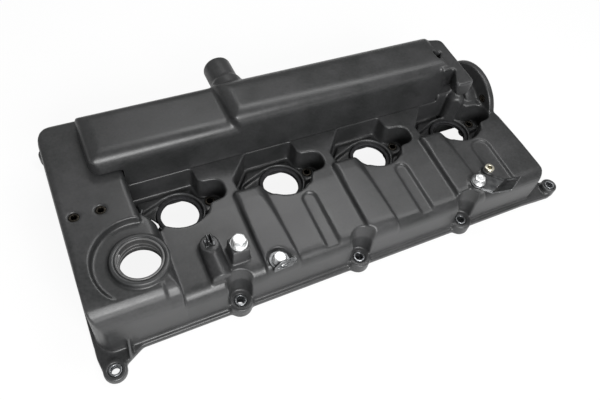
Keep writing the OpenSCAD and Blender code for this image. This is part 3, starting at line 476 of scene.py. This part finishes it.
def right_tab(field, low, voxel):
    """The right bracket's fold, wider toward its free end than the solid's, with its slot."""
    x, y, z = axes_mm(field, low, voxel)
    past_fold = FOLD_RUN[1] * (x - TAB[0][0]) - FOLD_RUN[0] * (y - TAB[0][1])
    field = largest(field, z - STRIP_TOP_Z, past_fold)
    field = np.minimum(field, plate_between(x, y, z, STRIP_END, SHEET_T))
    field = np.minimum(field, plate_between(x, y, z, TAB, SHEET_T))
    return np.maximum(field, -plate_between(x, y, z, TAB_SLOT, 3 * SHEET_T)).astype(np.float32)


def weld_tongue(field, low, voxel):
    """The duct's wall reaches a little into the cover's along the weld line, with a thin flash round it."""
    heights = (np.arange(field.shape[2]) + low[2]) * voxel
    flash = np.maximum(field - WELD_FLASH, (np.abs(heights - WELD_Z) - WELD_FLASH_HALF_H)[None, None, :])
    return np.minimum(field, flash.astype(np.float32))


def finish_piece(obj, material, slot, *nodes):
    """Gives a piece its material and body, and hides the CAD nodes that it stands for; its finish slot is
    not used.
    """
    obj.data.materials.clear()
    obj.data.materials.append(material)
    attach(obj, BODY)
    if nodes:
        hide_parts(*nodes)


cover = moulded_shell("cover_shell", "cover_moulding", voxel=0.9, soften=0.9, limit=195000,
                      details=cover_details)
finish_piece(cover, BLACK_NYLON, "black_plastic", "cover_shell")
duct = moulded_shell("duct_shell", "duct_moulding", voxel=0.9, soften=1.2, limit=150000,
                     details=weld_tongue)
finish_piece(duct, BLACK_NYLON, "black_plastic", "duct_shell")
# Sheet pieces: CAD node, voxel size, details hook and room in voxels
for node, voxel, details, room in (
        ("left_bracket", 0.25, None, 8),
        ("right_bracket", 0.3, right_tab, 44),
        ("spring_clip", 0.2, None, 8)):
    sheet = moulded_shell(node, node + "_sheet", voxel, voxel, 60000, details, room)
    finish_piece(sheet, SHEET, "sheet_steel", node)


# Turned rings, thread and bead seals, grown on points and paths by Geometry Nodes

def named_tree(name, inputs):
    """An empty Geometry Nodes group with named inputs, and the outputs of its input node."""
    tree = bpy.data.node_groups.new(name, "GeometryNodeTree")
    tree.interface.new_socket("Geometry", in_out="INPUT", socket_type="NodeSocketGeometry")
    for label in inputs:
        tree.interface.new_socket(label, in_out="INPUT", socket_type="NodeSocketFloat")
    tree.interface.new_socket("Material", in_out="INPUT", socket_type="NodeSocketMaterial")
    tree.interface.new_socket("Geometry", in_out="OUTPUT", socket_type="NodeSocketGeometry")
    return tree, tree.nodes, tree.nodes.new("NodeGroupInput").outputs


def close_tree(nodes, grown, material):
    """Realized and in its material."""
    real = add(nodes, "GeometryNodeRealizeInstances", (900, 0), Geometry=grown)
    dressed = add(nodes, "GeometryNodeSetMaterial", (1100, 0), Geometry=real.outputs[0], Material=material)
    add(nodes, "NodeGroupOutput", (1300, 0), Geometry=dressed.outputs[0])


def ring_tree():
    """A chamfered profile swept round a circle, and one such ring on every point."""
    tree, nodes, given = named_tree("turned_rings", ("Outer Radius", "Bore Radius", "Height", "Chamfer"))
    both = add(nodes, "ShaderNodeMath", (-500, 300), {"operation": "ADD"},
               i0=given["Outer Radius"], i1=given["Bore Radius"])
    middle = add(nodes, "ShaderNodeMath", (-300, 300), {"operation": "MULTIPLY"},
                 i0=both.outputs[0], i1=0.5)
    width = add(nodes, "ShaderNodeMath", (-300, 100), {"operation": "SUBTRACT"},
                i0=given["Outer Radius"], i1=given["Bore Radius"])
    rise = add(nodes, "ShaderNodeMath", (-300, -200), {"operation": "MULTIPLY"}, i0=given["Height"], i1=0.5)
    path = add(nodes, "GeometryNodeCurvePrimitiveCircle", (0, 200), Resolution=72, Radius=middle.outputs[0])
    section = add(nodes, "GeometryNodeCurvePrimitiveQuadrilateral", (0, 0), Width=width.outputs[0],
                  Height=given["Height"])
    edge_treated = add(nodes, "GeometryNodeFilletCurve", (200, 0), {"mode": "POLY"}, Curve=section.outputs[0],
               Count=3, Radius=given["Chamfer"], Limit_Radius=True)
    ring = add(nodes, "GeometryNodeCurveToMesh", (400, 100), Curve=path.outputs[0],
               Profile_Curve=edge_treated.outputs[0])
    lift = add(nodes, "ShaderNodeCombineXYZ", (400, -200), Z=rise.outputs[0])
    stood = add(nodes, "GeometryNodeTransform", (550, 100), Geometry=ring.outputs[0],
                Translation=lift.outputs[0])
    spots = add(nodes, "GeometryNodeMeshToPoints", (550, 300), Mesh=given["Geometry"])
    placed = add(nodes, "GeometryNodeInstanceOnPoints", (700, 200), Points=spots.outputs[0],
                 Instance=stood.outputs[0])
    close_tree(nodes, placed.outputs[0], given["Material"])
    return tree


def thread_tree():
    """A round-topped thread that winds up inside a neck, on every point."""
    tree, nodes, given = named_tree("moulded_thread", ("Radius", "Depth", "Pitch", "Turns"))
    height = add(nodes, "ShaderNodeMath", (-300, 300), {"operation": "MULTIPLY"},
                 i0=given["Pitch"], i1=given["Turns"])
    land = add(nodes, "ShaderNodeMath", (-300, 100), {"operation": "MULTIPLY"}, i0=given["Pitch"], i1=0.4)
    wide = add(nodes, "ShaderNodeMath", (-300, -100), {"operation": "MULTIPLY"}, i0=given["Depth"], i1=2.0)
    rounding = add(nodes, "ShaderNodeMath", (0, -200), {"operation": "MULTIPLY"},
                   i0=land.outputs[0], i1=0.4)
    helix = add(nodes, "GeometryNodeCurveSpiral", (0, 200), Resolution=64, Rotations=given["Turns"],
                Start_Radius=given["Radius"], End_Radius=given["Radius"], Height=height.outputs[0])
    section = add(nodes, "GeometryNodeCurvePrimitiveQuadrilateral", (0, 0), Width=wide.outputs[0],
                  Height=land.outputs[0])
    soft = add(nodes, "GeometryNodeFilletCurve", (200, 0), {"mode": "POLY"}, Curve=section.outputs[0],
               Count=3, Radius=rounding.outputs[0], Limit_Radius=True)
    upright = add(nodes, "GeometryNodeSetCurveNormal", (200, 300), {"mode": "Z_UP"}, Curve=helix.outputs[0])
    thread = add(nodes, "GeometryNodeCurveToMesh", (400, 100), Curve=upright.outputs[0],
                 Profile_Curve=soft.outputs[0], Fill_Caps=True)
    spots = add(nodes, "GeometryNodeMeshToPoints", (550, 300), Mesh=given["Geometry"])
    placed = add(nodes, "GeometryNodeInstanceOnPoints", (700, 200), Points=spots.outputs[0],
                 Instance=thread.outputs[0])
    close_tree(nodes, placed.outputs[0], given["Material"])
    return tree


def bead_tree():
    """A rubber bead of rounded section along every closed outline it is given."""
    tree, nodes, given = named_tree("bead_seal", ("Width", "Height", "Rounding"))
    path = add(nodes, "GeometryNodeMeshToCurve", (0, 200), Mesh=given["Geometry"])
    section = add(nodes, "GeometryNodeCurvePrimitiveQuadrilateral", (0, 0), Width=given["Width"],
                  Height=given["Height"])
    soft = add(nodes, "GeometryNodeFilletCurve", (200, 0), {"mode": "POLY"}, Curve=section.outputs[0],
               Count=4, Radius=given["Rounding"], Limit_Radius=True)
    bead = add(nodes, "GeometryNodeCurveToMesh", (400, 100), Curve=path.outputs[0],
               Profile_Curve=soft.outputs[0])
    close_tree(nodes, bead.outputs[0], given["Material"])
    return tree


def outward(mesh):
    """Faces turned outward, and shaded smooth between sharp corners."""
    bm = bmesh.new()
    bm.from_mesh(mesh)
    bmesh.ops.remove_doubles(bm, verts=bm.verts, dist=1e-7)
    bmesh.ops.recalc_face_normals(bm, faces=bm.faces)
    for f in bm.faces:
        f.smooth = True
    for e in bm.edges:
        e.smooth = len(e.link_faces) == 2 and e.calc_face_angle(0.0) < math.radians(38)
    bm.to_mesh(mesh)
    bm.free()


def grow(name, tree, points, edges, material, slot, nodes, **values):
    """Runs a tree on points or outlines given in millimetres and keeps the result as a plain mesh."""
    mesh = bpy.data.meshes.new(name)
    mesh.from_pydata([[c * MM for c in p] for p in points], edges, [])
    obj = in_scene(name, mesh)
    modifier = obj.modifiers.new(tree.name, "NODES")
    modifier.node_group = tree
    given = {"Material": material}
    for key, value in values.items():
        given[key.replace("_", " ")] = value if key == "Turns" else value * MM
    for item in tree.interface.items_tree:
        if item.in_out == "INPUT" and item.name in given:
            modifier[item.identifier] = given[item.name]
    bpy.context.view_layer.update()
    outward(settle(obj, modifier))
    finish_piece(obj, material, slot, *nodes)


def closed(points):
    """Edges that join points into one loop."""
    return [(i, (i + 1) % len(points)) for i in range(len(points))]


def round_corner(x, y, r, start, z, steps=6):
    """Quarter circle of points from a start angle in degrees."""
    turns = [math.radians(start + 90 * i / steps) for i in range(steps + 1)]
    return [(x + r * math.cos(a), y + r * math.sin(a), z) for a in turns]


def stadium(x, y, length, width, z):
    """A slot's outline: two half circles joined by straights."""
    r = width / 2
    half = length / 2 - r
    return (round_corner(x + half, y, r, -90, z) + round_corner(x + half, y, r, 0, z)[1:]
            + round_corner(x - half, y, r, 90, z) + round_corner(x - half, y, r, 180, z)[1:])


RINGS = ring_tree()
THREAD = thread_tree()
BEAD = bead_tree()
rear_row = [(i * SCREW_PITCH_X, SCREW_ROW_Y, 0) for i in (-1, 0, 1)]
front_row = [(x, -y, z) for x, y, z in rear_row]
for name, spots, height, nodes in (
        ("long_side_sleeves", rear_row + front_row, SEAT_Z, ("front_screw_sleeves", "rear_screw_sleeves")),
        ("left_ear_sleeve", [EAR_LEFT[:2] + (0,)], EAR_LEFT[2], ("ear_sleeve_left",)),
        ("right_ear_sleeve", [EAR_RIGHT[:2] + (0,)], EAR_RIGHT[2], ("ear_sleeve_right",)),
        ("corner_sleeves", [c[:2] + (0,) for c in REAR_CORNERS], SEAT_Z, ("rear_corner_sleeves",))):
    grow(name, RINGS, spots, [], SLEEVE, "zinc_steel", nodes, Outer_Radius=SLEEVE_R,
         Bore_Radius=SLEEVE_BORE_R, Height=height, Chamfer=0.4)
clamp_spots = [(bore_x(k) + CLAMP_OFFSET[0], BORE_Y + CLAMP_OFFSET[1], CLAMP_Z[0]) for k in range(4)]
grow("clamp_inserts", RINGS, clamp_spots, [], INSERT, "brass", ("clamp_screw_inserts",),
     Outer_Radius=CLAMP_INSERT_R, Bore_Radius=CLAMP_BORE_R, Height=CLAMP_Z[1] - CLAMP_Z[0], Chamfer=0.45)
grow("plate_inserts", RINGS, [p + (PLATE_INSERT_Z[0],) for p in PLATE_HOLES], [], INSERT, "brass",
     ("plate_screw_inserts",), Outer_Radius=PLATE_INSERT_R, Bore_Radius=PLATE_BORE_R,
     Height=PLATE_INSERT_Z[1] - PLATE_INSERT_Z[0], Chamfer=0.5)
grow("bolt_washer", RINGS, [BOSS_BOLT[:2] + (BOSS_BOLT[2] - WASHER_T,)], [], ZINC, "zinc_steel",
     ("boss_washer",), Outer_Radius=WASHER_R, Bore_Radius=3.0, Height=WASHER_T, Chamfer=0.25)
grow("filler_sleeve", RINGS, [FILLER + (FILLER_Z[0],)], [], GREY_NYLON, "grey_plastic", ("filler_insert",),
     Outer_Radius=FILLER_BORE_R + FILLER_WALL, Bore_Radius=FILLER_BORE_R, Height=FILLER_Z[1] - FILLER_Z[0],
     Chamfer=0.7)
grow("filler_thread", THREAD, [FILLER + (FILLER_Z[0] + THREAD_START,)], [], GREY_NYLON, "grey_plastic", (),
     Radius=FILLER_BORE_R + THREAD_SINK, Depth=1.1, Pitch=4.0, Turns=2.6)
seal_spots = [(bore_x(k), BORE_Y, SEAL_Z[0]) for k in range(4)]
grow("injector_seals", RINGS, seal_spots, [], RUBBER, "rubber",
     tuple(f"injector_seal_{k}" for k in range(1, 5)), Outer_Radius=SEAL_R,
     Bore_Radius=BORE_R + SEAL_BORE_CLEAR, Height=SEAL_Z[1] - SEAL_Z[0] - SEAL_TOP_CLEAR, Chamfer=0.8)
for name, rise in (("seal_upper_lips", 3.0), ("seal_lower_lips", 0.2)):
    grow(name, RINGS, [(x, y, z + rise) for x, y, z in seal_spots], [], RUBBER, "rubber", (),
         Outer_Radius=BORE_R + LIP_REACH, Bore_Radius=BORE_R - LIP_REACH, Height=LIP_H, Chamfer=0.5)
loop = []
for start, x, y in ((0, GASKET_X[1], GASKET_Y), (90, GASKET_X[0], GASKET_Y), (180, GASKET_X[0], -GASKET_Y),
                    (270, GASKET_X[1], -GASKET_Y)):
    loop += round_corner(x, y, GASKET_CORNER_R, start, BEAD_MID_Z)
grow("gasket_bead", BEAD, loop, closed(loop), RUBBER, "rubber", ("cover_gasket",),
     Width=3.8, Height=2 * BEAD_MID_Z, Rounding=1.1)
for k in range(4):
    ring = stadium(bore_x(k), RUNNER_Y, RUNNER_SIZE[0] + RUNNER_SEAL_OVER,
                   RUNNER_SIZE[1] + RUNNER_SEAL_OVER, BEAD_MID_Z)
    grow(f"runner_bead_{k + 1}", BEAD, ring, closed(ring), RUBBER, "rubber", (f"runner_seal_{k + 1}",),
         Width=2.8, Height=2 * BEAD_MID_Z, Rounding=0.9)


# Screws and stud, turned and cold-headed: rings of points joined into one skin

HEAD_SIDES = 72
SHANK_R = 2.75
SHANK_TIP_R = 2.3
FLANGE_EDGE = 0.3
# Stud from its tip up, then down its bore: height over its seat and radius
STUD_PROFILE = (
    (-8.0, 2.4), (-7.4, 2.7), (0.0, 2.7), (0.0, 4.2), (0.4, 4.6), (3.0, 4.6), (3.4, 4.2), (3.5, 3.9),
    (3.5, 2.5), (3.2, 2.2), (-3.0, 2.0))


def loft(name, rings, material, slot, *nodes):
    """Joins rings of equally many points, given in millimetres from the bottom up, and closes both ends."""
    bm = bmesh.new()
    layers = [[bm.verts.new([c * MM for c in p]) for p in ring] for ring in rings]
    for lower, upper in zip(layers, layers[1:]):
        for i in range(len(lower)):
            j = (i + 1) % len(lower)
            bm.faces.new((lower[i], lower[j], upper[j], upper[i]))
    bm.faces.new(layers[0])
    bm.faces.new(layers[-1])
    mesh = bpy.data.meshes.new(name)
    bm.to_mesh(mesh)
    bm.free()
    outward(mesh)
    finish_piece(in_scene(name, mesh), material, slot, *nodes)


def circles(x, y, profile):
    """One ring of points per height and radius."""
    turns = [math.tau * i / HEAD_SIDES for i in range(HEAD_SIDES)]
    return [[(x + r * math.cos(a), y + r * math.sin(a), z) for a in turns] for z, r in profile]


def hexagon(x, y, z, flats, turned, chamfer_r=None):
    """A hexagon's points; with a chamfer radius, its corners drop on a 30 degree cone from that radius."""
    ring = []
    for i in range(HEAD_SIDES):
        a = math.tau * i / HEAD_SIDES
        r = flats / 2 / math.cos((a - turned) % (math.pi / 3) - math.pi / 6)
        drop = max(0.0, r - chamfer_r) * math.tan(math.radians(30)) if chamfer_r else 0.0
        ring.append((x + r * math.cos(a), y + r * math.sin(a), z - drop))
    return ring


def flanged_bolt(name, node, place, flats, flange_r, head_h, shank_l, turned):
    """A bolt from its tip up over its flange and hexagon to the dish in its head."""
    x, y, z = place
    top = z + 1.5 + head_h
    rings = circles(x, y, (
        (z - shank_l, SHANK_TIP_R), (z - shank_l + 0.6, SHANK_R), (z, SHANK_R), (z, flange_r - FLANGE_EDGE),
        (z + FLANGE_EDGE, flange_r), (z + 0.8, flange_r), (z + 1.1, flange_r - FLANGE_EDGE),
        (z + 2.0, flats * 0.56)))
    rings += [hexagon(x, y, z + 2.3, flats, turned), hexagon(x, y, top - 0.1, flats, turned, flats * 0.47)]
    rings += circles(x, y, (
        (top, flats * 0.46), (top - 0.05, flats * 0.34), (top - 0.45, flats * 0.3), (top - 0.5, 0.4)))
    loft(name, rings, ZINC, "zinc_steel", node)


# Width across flats, flange radius, head height and shank length, and the head's turn in radians
flanged_bolt("boss_hex_bolt", "boss_bolt", BOSS_BOLT, 10.0, 6.4, 4.5, 13.0, 0.5)
flanged_bolt("left_hex_screw", "left_bracket_screw", LEFT_SCREW, 9.0, 6.2, 4.0, 12.0, 0.2)
flanged_bolt("right_hex_screw", "right_bracket_screw", RIGHT_SCREW, 9.0, 6.2, 4.0, 12.0, 0.9)
stud_rings = circles(STUD[0], STUD[1], [(STUD[2] + rise, r) for rise, r in STUD_PROFILE])
loft("stud_ring", stud_rings, BRASS, "brass", "brass_stud")


# The port's inserts are shown as the CAD has them
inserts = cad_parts["port_inserts"]
inserts.data.materials.clear()
inserts.data.materials.append(INSERT)


# Studio in metres: pale floor, soft lights in front, overhead and behind, and the photo's camera

FLOOR_HALF = 6.0
# How much of the floor glows by itself where the camera sees it, so that it stays even
FLOOR_GLOW = 0.9
SENSOR_MM = 36.0
PHOTO_WIDTH_PX = 600.0


def studio_floor():
    """Pale matt floor that the camera sees as nearly white."""
    mesh = bpy.data.meshes.new("studio_floor")
    corners = [(x * FLOOR_HALF, y * FLOOR_HALF, 0) for x, y in ((-1, -1), (1, -1), (1, 1), (-1, 1))]
    mesh.from_pydata(corners, [], [(0, 1, 2, 3)])
    floor = in_scene("studio_floor", mesh)
    mat, nodes = surface("pale_floor")
    paint = add(nodes, "ShaderNodeBsdfDiffuse", (-300, 0), Color=srgb("#f4f4f4"))
    glow = add(nodes, "ShaderNodeEmission", (-300, -150), Color=(1, 1, 1, 1), Strength=1.0)
    seen = add(nodes, "ShaderNodeLightPath", (-700, 300)).outputs
    straight = add(nodes, "ShaderNodeMath", (-500, 250), {"operation": "MAXIMUM"}, i0=seen["Is Camera Ray"],
                   i1=seen["Is Transmission Ray"]).outputs[0]
    share = add(nodes, "ShaderNodeMath", (-300, 200), {"operation": "MULTIPLY"}, i0=straight, i1=FLOOR_GLOW)
    mix = add(nodes, "ShaderNodeMixShader", (0, 0), Fac=share.outputs[0], i1=paint.outputs[0],
              i2=glow.outputs[0])
    add(nodes, "ShaderNodeOutputMaterial", (200, 0), Surface=mix.outputs[0])
    mesh.materials.append(mat)


def studio_world():
    """Pale surroundings that the camera sees as white."""
    world = bpy.data.worlds.new("studio_world")
    bpy.context.scene.world = world
    world.use_nodes = True
    nodes = world.node_tree.nodes
    nodes.clear()
    seen = add(nodes, "ShaderNodeLightPath", (-600, 200)).outputs["Is Camera Ray"]
    ambient = add(nodes, "ShaderNodeBackground", (-300, 0), Color=srgb("#ebebea"), Strength=0.27)
    white = add(nodes, "ShaderNodeBackground", (-300, -150), Color=(1, 1, 1, 1), Strength=1.0)
    mix = add(nodes, "ShaderNodeMixShader", (0, 0), Fac=seen, i1=ambient.outputs[0], i2=white.outputs[0])
    add(nodes, "ShaderNodeOutputWorld", (200, 0), Surface=mix.outputs[0])


def soft_light(name, place, target, size, power):
    """A rectangular light at a place, turned to its target."""
    data = bpy.data.lights.new(name, "AREA")
    data.shape = "RECTANGLE"
    data.size, data.size_y = size
    data.energy = power
    lamp = in_scene(name, data)
    lamp.location = place
    lamp.rotation_euler = (Vector(target) - Vector(place)).to_track_quat("-Z", "Y").to_euler()


def photo_camera():
    """Camera fitted to the photo: its place, the rows of its view matrix and its focal length."""
    place = Vector((-202.98, -287.15, 433.46)) * MM
    view = Matrix((
        (0.89660, -0.42585, 0.12151),
        (-0.28155, -0.75996, -0.58583),
        (0.34181, 0.49104, -0.80128)))
    focal_px = 561.8
    data = bpy.data.cameras.new("photo_camera")
    data.sensor_width = SENSOR_MM
    data.lens = focal_px / PHOTO_WIDTH_PX * SENSOR_MM
    data.clip_start = 0.01
    data.clip_end = 50.0
    cam = in_scene("photo_camera", data)
    turn = view.transposed() @ Matrix.Diagonal((1, -1, -1))
    cam.matrix_world = Matrix.Translation(place) @ turn.to_4x4()
    bpy.context.scene.camera = cam


studio_floor()
studio_world()
soft_light("front_light", (-0.15, -0.9, 0.65), (-0.05, -0.05, 0.03), (0.7, 0.4), 14.0)
soft_light("top_light", (0.33, 0.16, 0.9), (0.05, -0.05, 0.03), (1.2, 0.2), 5.8)
soft_light("rear_light", (-0.6, 1.2, 0.8), (0.0, 0.0, 0.03), (1.4, 0.8), 0.8)
photo_camera()
bpy.context.scene.view_settings.view_transform = "Standard"
